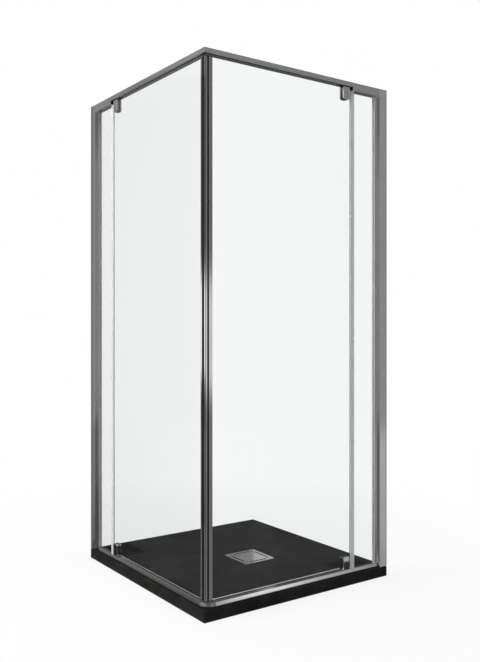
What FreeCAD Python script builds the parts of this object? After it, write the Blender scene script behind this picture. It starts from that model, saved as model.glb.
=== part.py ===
import FreeCAD, Part
import os
import re
import Sketcher

# Corner shower enclosure: two glass sides that meet at an outer corner, each with a pivot door and a
# narrow fixed panel, on a square shower tray. The origin is at the middle of the tray's underside and
# +Z is up. The front runs along +X and the side along +Y, both from the outer corner at -X -Y.
# Every sketch is drawn from that outer corner: "u" runs along a side, "v" runs inwards from the tray's
# edge, and z is the height above the floor. The walls stand at the far end of each side.

doc = FreeCAD.newDocument("corner_shower_enclosure")

# The driving dimensions, in millimetres
SIZES = {
    # overall
    "front_length": 900, "side_length": 900, "enclosure_height": 1945,
    # tray and drain
    "tray_height": 40, "tray_round": 4, "tray_rim": 62, "tray_fall": 6,
    "drain_across": 520, "drain_in": 430,
    "cover_size": 155, "cover_thick": 3, "cover_gap": 1, "cover_seat": 8,
    "cover_foot_radius": 6, "cover_foot_inset": 23, "cover_screw_radius": 2, "cover_head_radius": 5.5,
    "cover_head_thick": 1.4, "slot_inset": 17, "slot_length": 84, "slot_width": 8,
    "waste_hole_radius": 45, "waste_bore_radius": 38, "waste_flange_radius": 56, "waste_flange_thick": 3,
    "waste_lift": 2, "fit_gap": 0.2,
    # aluminium frame
    "rail_setback": 2, "rail_depth": 34, "rail_wall": 2, "header_height": 18, "fixed_rail_height": 32,
    "seam_gap": 0.6, "joiner_half": 16, "joiner_height": 10, "corner_arm": 90,
    "corner_screw_at": 66, "frame_screw_radius": 2, "frame_head_radius": 4, "frame_head_thick": 1.6,
    "wall_profile_width": 40, "wall_profile_depth": 36, "wall_profile_wall": 2,
    "wall_hole_radius": 3, "wall_hole_low": 200, "wall_hole_top": 125,
    "adjust_depth": 20, "adjust_wall": 1.6, "adjust_reach": 18, "adjust_tuck": 26, "adjust_bite": 20,
    "profile_screw_end": 260,
    # glass
    "glass_thick": 6, "glass_slack": 0.4, "fixed_width": 186, "fixed_top_bite": 12, "gasket_floor": 2,
    # threshold
    "tape_thick": 2.5, "tape_inset": 1.5, "sill_height": 13.5, "sill_width": 20.5, "sill_setback": 12.5,
    "sill_bevel": 3, "sill_bevel_height": 11, "sill_wall": 2, "sill_corner_radius": 45,
    # seals
    "jamb_nose": 4, "jamb_leg": 16, "jamb_wall": 1.5,
    "drip_wall": 1.4, "drip_leg": 8, "drip_base": 3.4, "drip_lip_gap": 1.2, "drip_lip_lean": 2,
    # door leaf
    "door_gap": 6, "door_foot_gap": 10, "door_head_gap": 5,
    "edge_depth": 14, "edge_reach": 30, "edge_bite": 12, "mitre_gap": 0.8, "nose_width": 8,
    "front_grip_width": 7, "side_grip_width": 13.5, "grip_depth": 2.5, "grip_strip_thick": 1,
    "magnet_width": 6, "magnet_depth": 3.7, "magnet_gap": 0.3, "cap_thick": 2,
    # pivot hinges
    "pivot_inset": 28, "clamp_width": 32, "clamp_height": 50, "clamp_thick": 9, "clamp_pad": 1,
    "clamp_round": 8, "clamp_edge_round": 1.5, "clamp_rise": 2.5, "clamp_drop": 5,
    "block_width": 20, "block_depth": 14, "block_height": 24, "notch_gap": 0.5,
    "clamp_screw_spread": 8, "clamp_screw_drop": 13, "clamp_screw_radius": 2.5, "clamp_thread": 5,
    "clamp_head_radius": 4.5, "clamp_head_thick": 2.5, "glass_hole_radius": 6,
    "pin_radius": 2.5, "pin_gap": 0.08, "pin_reach": 11, "pin_rest": 0.3, "bush_radius": 3.8,
    "bush_floor": 2, "bearing_half": 24, "bearing_tail": 10, "bearing_half_depth": 9,
    "top_plate_thick": 1.6, "foot_plate_thick": 3, "foot_screw_spread": 17, "foot_screw_radius": 1.6,
    "foot_head_radius": 3, "foot_head_thick": 1, "foot_screw_depth": 6,
}
# How far a cut runs past the faces that it opens
OVERRUN = 1
sheet = doc.addObject("Spreadsheet::Sheet", "Sizes")
for row, (alias, size) in enumerate(SIZES.items(), start=1):
    sheet.set(f"A{row}", alias)
    sheet.set(f"B{row}", str(size))
    sheet.setAlias(f"B{row}", alias)
doc.recompute()

# Places that several pieces share, as expressions of the driving dimensions
RAIL_IN = "(rail_setback + rail_depth)"
RAIL_SKIN_OUT = "(rail_setback + rail_wall)"
RAIL_SKIN_IN = f"({RAIL_IN} - rail_wall)"
WALL_IN = "(rail_setback + wall_profile_depth)"
PLANE = "(rail_setback + wall_profile_depth / 2)"
GLASS_OUT = f"({PLANE} - glass_thick / 2)"
GLASS_IN = f"({PLANE} + glass_thick / 2)"
SLOT_OUT = f"({GLASS_OUT} - glass_slack)"
SLOT_IN = f"({GLASS_IN} + glass_slack)"
TOP = "(tray_height + enclosure_height)"
HEADER_UNDER = f"({TOP} - header_height)"
FIXED_UNDER = f"({TOP} - fixed_rail_height)"
FLOOR = "(tray_height - tray_fall)"
SEAT = f"({FLOOR} - cover_seat)"
SILL_IN = "(sill_setback + sill_width)"
SILL_FOOT = "(tray_height + tape_thick)"
SILL_FLOOR = f"({SILL_FOOT} + sill_wall)"
SILL_TOP = f"({SILL_FOOT} + sill_height)"
SILL_SHOULDER = f"({SILL_TOP} - sill_bevel_height)"
SILL_CENTRE = "(sill_setback + sill_corner_radius)"
FIXED_EDGE = "(length - fixed_width)"
SEAM = f"({FIXED_EDGE} - jamb_nose)"
WALL_FACE = "(length - wall_profile_width)"
ADJUST_FACE = f"({WALL_FACE} - adjust_reach)"
ADJUST_OUT = f"({PLANE} - adjust_depth / 2)"
ADJUST_IN = f"({PLANE} + adjust_depth / 2)"
ADJUST_SKIN_OUT = f"({ADJUST_OUT} + adjust_wall)"
ADJUST_SKIN_IN = f"({ADJUST_IN} - adjust_wall)"
ADJUST_WEB = f"({ADJUST_FACE} + adjust_bite)"
FIXED_END = f"({ADJUST_WEB} - gasket_floor)"
DOOR_EDGE = f"({FIXED_EDGE} - door_gap)"
DOOR_FOOT = f"({SILL_TOP} + door_foot_gap)"
DOOR_HEAD = f"({HEADER_UNDER} - door_head_gap)"
CAP_FOOT = f"({DOOR_FOOT} + cap_thick)"
CAP_HEAD = f"({DOOR_HEAD} - cap_thick)"
EDGE_OUT = f"({PLANE} - edge_depth / 2)"
EDGE_IN = f"({PLANE} + edge_depth / 2)"
EDGE_FAR = f"({EDGE_OUT} + edge_reach)"
NOSE_END = f"({EDGE_OUT} + nose_width)"
GRIP_END = f"({NOSE_END} + grip_width)"
GRIP_FLOOR = f"({EDGE_OUT} + grip_depth)"
GLASS_START = f"({EDGE_FAR} - edge_bite)"
MAGNET_OUT = f"({PLANE} - magnet_width / 2)"
MAGNET_IN = f"({PLANE} + magnet_width / 2)"
MAGNET_SEAT = "(mitre_gap + magnet_depth)"
PIVOT = f"({DOOR_EDGE} - pivot_inset)"
CLAMP_TOP = f"({DOOR_HEAD} + clamp_rise)"
CLAMP_FOOT = f"({DOOR_FOOT} - clamp_drop)"
PAD_OUT = f"({GLASS_OUT} - clamp_pad)"
PAD_IN = f"({GLASS_IN} + clamp_pad)"
BLOCK_OUT = f"({PLANE} - block_depth / 2)"
BLOCK_IN = f"({PLANE} + block_depth / 2)"
PROFILE_SCREWS = [
    ("(length - wall_profile_width / 2)", height) for height in (
        "(tray_height + profile_screw_end)",
        "(tray_height + enclosure_height / 2)",
        f"({TOP} - profile_screw_end)",
    )
]
# Four wall screws in each wall profile, at even steps
WALL_HOLE_STEP = "(enclosure_height - wall_hole_low - wall_hole_top) / 3"
WALL_HOLES = [(PLANE, f"(tray_height + wall_hole_low + {step} * {WALL_HOLE_STEP})") for step in range(4)]
FOOT_SCREWS = [(f"({PIVOT} {sign} foot_screw_spread)", PLANE) for sign in "+-"]

SIDES = ("front", "side")
# For each side and each drawing direction: the origin plane, and whether the two drawn axes swap.
# "plan" is drawn along u and v, "face" along u and z, "end" along v and z.
PLANES = {
    ("front", "plan"): ("XY_Plane", False), ("side", "plan"): ("XY_Plane", True),
    ("front", "face"): ("XZ_Plane", False), ("side", "face"): ("YZ_Plane", False),
    ("front", "end"): ("YZ_Plane", False), ("side", "end"): ("XZ_Plane", False),
}


def bound(expression, side):
    """Tie each name to its spreadsheet cell, and length and grip_width to that side's own."""
    tied = re.sub(r"\b(length|grip_width)\b", rf"{side}_\1", str(expression))
    return re.sub(r"\b[a-z]+(?:_[a-z]+)*\b", lambda name: "Sizes." + name.group(), tied)


def value(expression, side):
    return float(sheet.evalExpression(bound(expression, side)))


def new_body(label):
    body = doc.addObject("PartDesign::Body", label)
    body.Label = label
    body.setExpression("Placement.Base.x", "-Sizes.front_length / 2")
    body.setExpression("Placement.Base.y", "-Sizes.side_length / 2")
    return body


def dimension(sketch, kind, geometry, point, expression, side):
    """Fix one coordinate of a sketch point to an expression."""
    index = sketch.addConstraint(
        Sketcher.Constraint(kind, -1, 1, geometry, point, value(expression, side)))
    sketch.setExpression(f"Constraints[{index}]", bound(expression, side))


def draw_polygon(sketch, points, swap, side):
    if swap:
        points = [(v, u) for u, v in points]
    places = [FreeCAD.Vector(value(a, side), value(b, side), 0) for a, b in points]
    count = len(places)
    lines = [Part.LineSegment(places[i], places[(i + 1) % count]) for i in range(count)]
    first = sketch.addGeometry(lines, False)[0]
    for i in range(count):
        sketch.addConstraint(Sketcher.Constraint(
            "Coincident", first + i, 2, first + (i + 1) % count, 1))
    for i, (a, b) in enumerate(points):
        dimension(sketch, "DistanceX", first + i, 1, a, side)
        dimension(sketch, "DistanceY", first + i, 1, b, side)


def draw_circle(sketch, centre, radius, swap, side):
    a, b = (centre[1], centre[0]) if swap else centre
    place = FreeCAD.Vector(value(a, side), value(b, side), 0)
    circle = sketch.addGeometry(
        Part.Circle(place, FreeCAD.Vector(0, 0, 1), value(radius, side)), False)
    dimension(sketch, "DistanceX", circle, 3, a, side)
    dimension(sketch, "DistanceY", circle, 3, b, side)
    index = sketch.addConstraint(Sketcher.Constraint("Radius", circle, value(radius, side)))
    sketch.setExpression(f"Constraints[{index}]", bound(radius, side))


def new_sketch(body, side, view, shapes, level):
    """A sketch on an origin plane of its body, moved to a level along the plane's own axis."""
    role, swap = PLANES[side, view]
    plane = next(item for item in body.Origin.OriginFeatures if item.Role == role)
    sketch = body.newObject("Sketcher::SketchObject", f"{body.Name}_sketch")
    sketch.AttachmentSupport = [(plane, "")]
    sketch.MapMode = "FlatFace"
    sign = "-1 * " if role == "XZ_Plane" else ""
    sketch.setExpression("AttachmentOffset.Base.z", sign + bound(f"({level})", side))
    for shape in shapes:
        if shape[0] == "circle":
            draw_circle(sketch, shape[1], shape[2], swap, side)
        else:
            draw_polygon(sketch, shape, swap, side)
    return sketch


def extrude(body, side, view, shapes, low, high, cut=False):
    """Add, or cut, the drawn shapes between two levels along the view's own axis."""
    sketch = new_sketch(body, side, view, shapes, low)
    feature = body.newObject("PartDesign::Pocket" if cut else "PartDesign::Pad", f"{body.Name}_step")
    feature.Profile = sketch
    feature.setExpression("Length", bound(f"({high}) - ({low})", side))
    against_axis = PLANES[side, view][0] == "XZ_Plane"
    feature.Reversed = against_axis != cut
    doc.recompute()
    return feature


def drill(body, side, view, places, radius, low, high):
    circles = [("circle", place, radius) for place in places]
    extrude(body, side, view, circles, f"{low} - {OVERRUN}", f"{high} + {OVERRUN}", cut=True)


def rods(body, side, view, places, radius, low, high):
    extrude(body, side, view, [("circle", place, radius) for place in places], low, high)


def rectangle(low_a, low_b, high_a, high_b):
    return [(low_a, low_b), (high_a, low_b), (high_a, high_b), (low_a, high_b)]


def centred(centre_a, centre_b, half_a, half_b):
    return rectangle(f"{centre_a} - {half_a}", f"{centre_b} - {half_b}",
                     f"{centre_a} + {half_a}", f"{centre_b} + {half_b}")


def round_edges(body, base, radius, wanted):
    names = [f"Edge{i}" for i, edge in enumerate(base.Shape.Edges, start=1) if wanted(edge.BoundBox)]
    fillet = body.newObject("PartDesign::Fillet", f"{body.Name}_round")
    fillet.Base = (base, names)
    fillet.setExpression("Radius", f"Sizes.{radius}")
    doc.recompute()
    return fillet


# Tray: a cast slab with rounded edges, a floor that falls to the drain and a seat for its cover
def make_tray():
    body = new_body("tray")
    slab = body.newObject("PartDesign::AdditiveBox", "tray_slab")
    slab.setExpression("Length", "Sizes.front_length")
    slab.setExpression("Width", "Sizes.side_length")
    slab.setExpression("Height", "Sizes.tray_height")
    doc.recompute()
    half_height = value("tray_height / 2", "front")
    round_edges(body, slab, "tray_round", lambda box: box.ZMax > half_height)
    drain_half = "(cover_size / 2 + cover_gap)"
    seat_outline = centred("drain_across", "drain_in", drain_half, drain_half)
    rim = rectangle("tray_rim", "tray_rim", "(front_length - tray_rim)", "(side_length - tray_rim)")
    fall = body.newObject("PartDesign::SubtractiveLoft", "tray_falls")
    fall.Profile = new_sketch(body, "front", "plan", [rim], "tray_height")
    fall.Sections = [new_sketch(body, "front", "plan", [seat_outline], FLOOR)]
    fall.Ruled = True
    doc.recompute()
    extrude(body, "front", "plan", [seat_outline], SEAT, f"{FLOOR} + {OVERRUN}", cut=True)
    drill(body, "front", "plan", [("drain_across", "drain_in")], "waste_hole_radius", "0", SEAT)


# Drain: a flanged waste in the tray's hole, under a slotted square cover on four screwed feet
COVER_REACH = "(cover_size / 2 - cover_foot_inset)"
COVER_SCREWS = [(f"drain_across {a} {COVER_REACH}", f"drain_in {b} {COVER_REACH}")
                for a in "+-" for b in "+-"]
COVER_UNDER = f"({FLOOR} - cover_thick)"
COVER_HEAD_SEAT = f"({FLOOR} - cover_head_thick)"


def make_waste_flange():
    body = new_body("waste_flange")
    centre = [("drain_across", "drain_in")]
    flange_top = f"({SEAT} + waste_flange_thick)"
    rods(body, "front", "plan", centre, "waste_flange_radius", SEAT, flange_top)
    rods(body, "front", "plan", centre, "waste_hole_radius - fit_gap", "waste_lift", SEAT)
    drill(body, "front", "plan", centre, "waste_bore_radius", "waste_lift", flange_top)


def make_drain_cover():
    body = new_body("drain_cover")
    half = "cover_size / 2"
    plate = centred("drain_across", "drain_in", half, half)
    extrude(body, "front", "plan", [plate], COVER_UNDER, FLOOR)
    rods(body, "front", "plan", COVER_SCREWS, "cover_foot_radius", SEAT, COVER_UNDER)
    reach = "(cover_size / 2 - slot_inset)"
    slots = []
    for sign in "+-":
        slots.append(centred("drain_across", f"drain_in {sign} {reach}", "slot_length / 2", "slot_width / 2"))
        slots.append(centred(f"drain_across {sign} {reach}", "drain_in", "slot_width / 2", "slot_length / 2"))
    extrude(body, "front", "plan", slots, f"{COVER_UNDER} - {OVERRUN}", f"{FLOOR} + {OVERRUN}", cut=True)
    heads = [("circle", place, "cover_head_radius + fit_gap") for place in COVER_SCREWS]
    extrude(body, "front", "plan", heads, COVER_HEAD_SEAT, f"{FLOOR} + {OVERRUN}", cut=True)
    drill(body, "front", "plan", COVER_SCREWS, "cover_screw_radius + fit_gap", SEAT, COVER_HEAD_SEAT)


def make_cover_screws():
    body = new_body("cover_screws")
    rods(body, "front", "plan", COVER_SCREWS, "cover_head_radius", COVER_HEAD_SEAT, FLOOR)
    rods(body, "front", "plan", COVER_SCREWS, "cover_screw_radius", SEAT, COVER_HEAD_SEAT)


# Wall profile: a lipped channel screwed to the wall, with the adjusting profile sliding in its mouth
def make_wall_profile(side):
    body = new_body(f"wall_profile_{side}")
    skin_out = "(rail_setback + wall_profile_wall)"
    skin_in = f"({WALL_IN} - wall_profile_wall)"
    web = "(length - wall_profile_wall)"
    lip = f"({WALL_FACE} + wall_profile_wall)"
    mouth_out = f"({ADJUST_OUT} - fit_gap)"
    mouth_in = f"({ADJUST_IN} + fit_gap)"
    channel = [
        (WALL_FACE, "rail_setback"), ("length", "rail_setback"), ("length", WALL_IN), (WALL_FACE, WALL_IN),
        (WALL_FACE, mouth_in), (lip, mouth_in), (lip, skin_in), (web, skin_in),
        (web, skin_out), (lip, skin_out), (lip, mouth_out), (WALL_FACE, mouth_out),
    ]
    extrude(body, side, "plan", [channel], "tray_height", TOP)
    drill(body, side, "end", WALL_HOLES, "wall_hole_radius", web, "length")
    drill(body, side, "face", PROFILE_SCREWS, "frame_screw_radius + fit_gap", skin_in, WALL_IN)


def make_adjust_profile(side):
    body = new_body(f"adjust_profile_{side}")
    far = f"({WALL_FACE} + adjust_tuck)"
    web_far = f"({ADJUST_WEB} + adjust_wall)"
    section = [
        (ADJUST_FACE, ADJUST_OUT), (far, ADJUST_OUT), (far, ADJUST_SKIN_OUT), (web_far, ADJUST_SKIN_OUT),
        (web_far, ADJUST_SKIN_IN), (far, ADJUST_SKIN_IN), (far, ADJUST_IN), (ADJUST_FACE, ADJUST_IN),
        (ADJUST_FACE, ADJUST_SKIN_IN), (ADJUST_WEB, ADJUST_SKIN_IN),
        (ADJUST_WEB, ADJUST_SKIN_OUT), (ADJUST_FACE, ADJUST_SKIN_OUT),
    ]
    extrude(body, side, "plan", [section], SILL_TOP, FIXED_UNDER)
    drill(body, side, "face", PROFILE_SCREWS, "frame_screw_radius + fit_gap", ADJUST_SKIN_IN, ADJUST_IN)


def make_glazing_gasket(side):
    body = new_body(f"glazing_gasket_{side}")
    mouth = f"({ADJUST_FACE} + glass_slack)"
    section = [
        (mouth, ADJUST_SKIN_OUT), (ADJUST_WEB, ADJUST_SKIN_OUT), (ADJUST_WEB, ADJUST_SKIN_IN),
        (mouth, ADJUST_SKIN_IN), (mouth, GLASS_IN), (FIXED_END, GLASS_IN),
        (FIXED_END, GLASS_OUT), (mouth, GLASS_OUT),
    ]
    extrude(body, side, "plan", [section], SILL_TOP, FIXED_UNDER)


def make_profile_screws():
    body = new_body("profile_screws")
    for side in SIDES:
        rods(body, side, "face", PROFILE_SCREWS, "frame_head_radius",
             WALL_IN, f"{WALL_IN} + frame_head_thick")
        rods(body, side, "face", PROFILE_SCREWS, "frame_screw_radius", ADJUST_SKIN_IN, WALL_IN)


# Top rails: a hollow header over each door, mitred at the corner, and a deeper rail over the fixed glass
HEADER_FLOOR = f"({HEADER_UNDER} + rail_wall)"
RAIL_CEILING = f"({TOP} - rail_wall)"
CORNER_SCREW = [("corner_screw_at", PLANE)]


def make_header_rail(side):
    body = new_body(f"header_rail_{side}")
    end = f"({SEAM} - seam_gap / 2)"
    outline = [("rail_setback", "rail_setback"), (end, "rail_setback"), (end, RAIL_IN), (RAIL_IN, RAIL_IN)]
    extrude(body, side, "plan", [outline], HEADER_UNDER, TOP)
    hollow = [
        (f"{RAIL_SKIN_OUT} - {OVERRUN}", RAIL_SKIN_OUT), (f"{end} + {OVERRUN}", RAIL_SKIN_OUT),
        (f"{end} + {OVERRUN}", RAIL_SKIN_IN), (f"{RAIL_SKIN_IN} - {OVERRUN}", RAIL_SKIN_IN),
    ]
    extrude(body, side, "plan", [hollow], HEADER_FLOOR, RAIL_CEILING, cut=True)
    drill(body, side, "plan", [(PIVOT, PLANE)], "bush_radius + fit_gap", HEADER_UNDER, HEADER_FLOOR)
    drill(body, side, "plan", CORNER_SCREW, "frame_screw_radius + fit_gap", HEADER_UNDER, HEADER_FLOOR)


def make_fixed_rail(side):
    body = new_body(f"fixed_rail_{side}")
    floor = f"({FIXED_UNDER} + rail_wall)"
    section = [
        ("rail_setback", FIXED_UNDER), (SLOT_OUT, FIXED_UNDER), (SLOT_OUT, floor), (RAIL_SKIN_OUT, floor),
        (RAIL_SKIN_OUT, RAIL_CEILING), (RAIL_SKIN_IN, RAIL_CEILING), (RAIL_SKIN_IN, floor), (SLOT_IN, floor),
        (SLOT_IN, FIXED_UNDER), (RAIL_IN, FIXED_UNDER), (RAIL_IN, TOP), ("rail_setback", TOP),
    ]
    extrude(body, side, "end", [section], f"{SEAM} + seam_gap / 2", WALL_FACE)


def make_rail_joiners():
    body = new_body("rail_joiners")
    for side in SIDES:
        outline = rectangle(f"{SEAM} - joiner_half", RAIL_SKIN_OUT, f"{SEAM} + joiner_half", RAIL_SKIN_IN)
        extrude(body, side, "plan", [outline], f"{RAIL_CEILING} - joiner_height", RAIL_CEILING)


def make_corner_joiner():
    body = new_body("corner_joiner")
    bracket = [
        (RAIL_SKIN_OUT, RAIL_SKIN_OUT), ("corner_arm", RAIL_SKIN_OUT), ("corner_arm", RAIL_SKIN_IN),
        (RAIL_SKIN_IN, RAIL_SKIN_IN), (RAIL_SKIN_IN, "corner_arm"), (RAIL_SKIN_OUT, "corner_arm"),
    ]
    top = f"({HEADER_FLOOR} + joiner_height)"
    extrude(body, "front", "plan", [bracket], HEADER_FLOOR, top)
    for side in SIDES:
        drill(body, side, "plan", CORNER_SCREW, "frame_screw_radius + fit_gap", HEADER_FLOOR, top)


def make_corner_screws():
    body = new_body("corner_screws")
    tip = f"{HEADER_FLOOR} + joiner_height"
    for side in SIDES:
        rods(body, side, "plan", CORNER_SCREW, "frame_head_radius",
             f"{HEADER_UNDER} - frame_head_thick", HEADER_UNDER)
        rods(body, side, "plan", CORNER_SCREW, "frame_screw_radius", HEADER_UNDER, tip)


# Threshold: a low hollow strip stuck to the tray with tape, with a moulded round corner piece. The fixed
# glass stands in a slot of its top.
def sweep_corner(body, section):
    """Turn a section a quarter round the upright through the centre of the threshold's corner."""
    sketch = new_sketch(body, "front", "face", [section], SILL_CENTRE)
    sketch.setExpression("AttachmentOffset.Base.x", bound(SILL_CENTRE, "front"))
    sweep = body.newObject("PartDesign::Revolution", f"{body.Name}_sweep")
    sweep.Profile = sketch
    sweep.ReferenceAxis = (sketch, ["V_Axis"])
    sweep.Angle = 90
    doc.recompute()


def sill_section(outer, inner):
    return [
        (outer, SILL_FOOT), (inner, SILL_FOOT), (inner, SILL_TOP),
        (f"{outer} + sill_bevel", SILL_TOP), (outer, SILL_SHOULDER),
    ]


def tape_section(outer, inner):
    return rectangle(f"{outer} + tape_inset", "tray_height", f"{inner} - tape_inset", SILL_FOOT)


# The corner's sections are drawn from its centre, so they lie on the negative side
CORNER_OUT = "(0 - sill_corner_radius)"
CORNER_IN = "(sill_width - sill_corner_radius)"


def make_threshold(side):
    body = new_body(f"threshold_{side}")
    extrude(body, side, "end", [sill_section("sill_setback", SILL_IN)], SILL_CENTRE, WALL_FACE)
    past_end = f"{WALL_FACE} + {OVERRUN}"
    hollow = rectangle("sill_setback + sill_bevel + sill_wall", SILL_FLOOR,
                       f"{SILL_IN} - sill_wall", f"{SILL_TOP} - sill_wall")
    extrude(body, side, "end", [hollow], f"{SILL_CENTRE} - {OVERRUN}", past_end, cut=True)
    slot = rectangle(SLOT_OUT, SILL_FLOOR, SLOT_IN, f"{SILL_TOP} + {OVERRUN}")
    extrude(body, side, "end", [slot], f"{FIXED_EDGE} - glass_slack", past_end, cut=True)
    socket = [("circle", (PIVOT, PLANE), "bush_radius + fit_gap")]
    extrude(body, side, "plan", socket, SILL_FLOOR, f"{SILL_TOP} + {OVERRUN}", cut=True)
    roof = f"({SILL_TOP} - sill_wall)"
    drill(body, side, "plan", FOOT_SCREWS, "foot_screw_radius + fit_gap", roof, SILL_TOP)


def make_threshold_corner():
    body = new_body("threshold_corner")
    sweep_corner(body, sill_section(CORNER_OUT, CORNER_IN))


def make_threshold_tape():
    body = new_body("threshold_tape")
    for side in SIDES:
        extrude(body, side, "end", [tape_section("sill_setback", SILL_IN)], SILL_CENTRE, WALL_FACE)
    sweep_corner(body, tape_section(CORNER_OUT, CORNER_IN))


# Fixed panel: glass held by the adjusting profile, the threshold's slot and the deeper rail
def make_fixed_glass(side):
    body = new_body(f"fixed_glass_{side}")
    outline = rectangle(FIXED_EDGE, GLASS_OUT, FIXED_END, GLASS_IN)
    extrude(body, side, "plan", [outline], SILL_FLOOR, f"{FIXED_UNDER} + fixed_top_bite")


def make_jamb_seal(side):
    body = new_body(f"jamb_seal_{side}")
    heel = f"({FIXED_EDGE} + jamb_leg)"
    skin_out = f"({GLASS_OUT} - jamb_wall)"
    skin_in = f"({GLASS_IN} + jamb_wall)"
    section = [
        (SEAM, skin_out), (heel, skin_out), (heel, GLASS_OUT), (FIXED_EDGE, GLASS_OUT),
        (FIXED_EDGE, GLASS_IN), (heel, GLASS_IN), (heel, skin_in), (SEAM, skin_in),
    ]
    extrude(body, side, "plan", [section], SILL_TOP, FIXED_UNDER)


# Pivot bearings: a black bush plate under the header and a foot plate on the threshold, for the pins
def make_top_bearing(side):
    body = new_body(f"top_bearing_{side}")
    under = f"({HEADER_UNDER} - top_plate_thick)"
    bush_top = f"({HEADER_UNDER} + pin_reach + bush_floor)"
    plate = rectangle(f"{PIVOT} - bearing_half - bearing_tail", f"{PLANE} - bearing_half_depth",
                      f"{PIVOT} + bearing_half", f"{PLANE} + bearing_half_depth")
    extrude(body, side, "plan", [plate], under, HEADER_UNDER)
    rods(body, side, "plan", [(PIVOT, PLANE)], "bush_radius", HEADER_UNDER, bush_top)
    drill(body, side, "plan", [(PIVOT, PLANE)], "pin_radius + pin_gap", under, bush_top)


def make_bottom_bearing(side):
    body = new_body(f"bottom_bearing_{side}")
    plate_top = f"({SILL_TOP} + foot_plate_thick)"
    boss_top = f"({CLAMP_FOOT} - pin_rest)"
    plate = rectangle(f"{PIVOT} - bearing_half", "sill_setback + sill_bevel",
                      f"{PIVOT} + bearing_half", f"{SILL_IN} - sill_bevel")
    extrude(body, side, "plan", [plate], SILL_TOP, plate_top)
    rods(body, side, "plan", [(PIVOT, PLANE)], "bush_radius", SILL_FLOOR, SILL_TOP)
    rods(body, side, "plan", [(PIVOT, PLANE)], "bush_radius", plate_top, boss_top)
    bore = [("circle", (PIVOT, PLANE), "pin_radius + pin_gap")]
    extrude(body, side, "plan", bore, f"{SILL_FLOOR} + bush_floor", f"{boss_top} + {OVERRUN}", cut=True)
    drill(body, side, "plan", FOOT_SCREWS, "foot_screw_radius + fit_gap", SILL_TOP, plate_top)


def make_bearing_screws():
    body = new_body("bearing_screws")
    plate_top = f"({SILL_TOP} + foot_plate_thick)"
    for side in SIDES:
        rods(body, side, "plan", FOOT_SCREWS, "foot_head_radius", plate_top, f"{plate_top} + foot_head_thick")
        rods(body, side, "plan", FOOT_SCREWS, "foot_screw_radius",
             f"{SILL_TOP} - foot_screw_depth", plate_top)


# Each door has one clamp at its head and one at its foot: its span, its pivot block's span, its pin's
# span and the places of its screws
def clamp_screw_places(level):
    return [(f"{PIVOT} {sign} clamp_screw_spread", level) for sign in "+-"]


CLAMPS = {
    "top": {
        "span": (f"({CLAMP_TOP} - clamp_height)", CLAMP_TOP),
        "block": (f"({CLAMP_TOP} - block_height)", CLAMP_TOP),
        "screws": clamp_screw_places(f"({CLAMP_TOP} - block_height - clamp_screw_drop)"),
        "pin": (CLAMP_TOP, f"({HEADER_UNDER} + pin_reach)"),
    },
    "bottom": {
        "span": (CLAMP_FOOT, f"({CLAMP_FOOT} + clamp_height)"),
        "block": (CLAMP_FOOT, f"({CLAMP_FOOT} + block_height)"),
        "screws": clamp_screw_places(f"({CLAMP_FOOT} + block_height + clamp_screw_drop)"),
        "pin": (f"({SILL_FLOOR} + bush_floor + pin_rest)", CLAMP_FOOT),
    },
}


def block_outline(clamp, gap):
    """The outline of a pivot block seen from the front, with a gap round it."""
    low, high = CLAMPS[clamp]["block"]
    return rectangle(f"{PIVOT} - block_width / 2 - {gap}", f"{low} - {gap}",
                     f"{PIVOT} + block_width / 2 + {gap}", f"{high} + {gap}")


# Door leaf: toughened glass, a chromed closing profile with a grip groove, a mitred magnet and a drip seal
def make_door_glass(side):
    body = new_body(f"door_glass_{side}")
    outline = rectangle(GLASS_START, GLASS_OUT, DOOR_EDGE, GLASS_IN)
    extrude(body, side, "plan", [outline], DOOR_FOOT, DOOR_HEAD)
    for clamp in CLAMPS:
        notch = block_outline(clamp, "notch_gap")
        extrude(body, side, "face", [notch], f"{GLASS_OUT} - {OVERRUN}", f"{GLASS_IN} + {OVERRUN}", cut=True)
        drill(body, side, "face", CLAMPS[clamp]["screws"], "glass_hole_radius", GLASS_OUT, GLASS_IN)


def mitre(depth, gap):
    """A point on the 45 degree mitre of the two doors, a gap away from it along u."""
    return (f"{depth} + {gap}", depth)


GLASS_POCKET = [(EDGE_FAR, SLOT_OUT), (GLASS_START, SLOT_OUT), (GLASS_START, SLOT_IN), (EDGE_FAR, SLOT_IN)]


def make_door_edge(side):
    body = new_body(f"door_edge_{side}")
    section = [
        mitre(EDGE_OUT, "mitre_gap"), (NOSE_END, EDGE_OUT), (NOSE_END, GRIP_FLOOR), (GRIP_END, GRIP_FLOOR),
        (GRIP_END, EDGE_OUT), (EDGE_FAR, EDGE_OUT), *GLASS_POCKET, (EDGE_FAR, EDGE_IN),
        mitre(EDGE_IN, "mitre_gap"), mitre(MAGNET_IN, "mitre_gap"), mitre(MAGNET_IN, MAGNET_SEAT),
        mitre(MAGNET_OUT, MAGNET_SEAT), mitre(MAGNET_OUT, "mitre_gap"),
    ]
    extrude(body, side, "plan", [section], CAP_FOOT, CAP_HEAD)


def make_magnet_strip(side):
    body = new_body(f"magnet_strip_{side}")
    section = [
        mitre(MAGNET_OUT, "magnet_gap"), mitre(MAGNET_OUT, MAGNET_SEAT),
        mitre(MAGNET_IN, MAGNET_SEAT), mitre(MAGNET_IN, "magnet_gap"),
    ]
    extrude(body, side, "plan", [section], CAP_FOOT, CAP_HEAD)


def make_grip_strip(side):
    body = new_body(f"grip_strip_{side}")
    outline = rectangle(NOSE_END, f"{GRIP_FLOOR} - grip_strip_thick", GRIP_END, GRIP_FLOOR)
    extrude(body, side, "plan", [outline], CAP_FOOT, CAP_HEAD)


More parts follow.
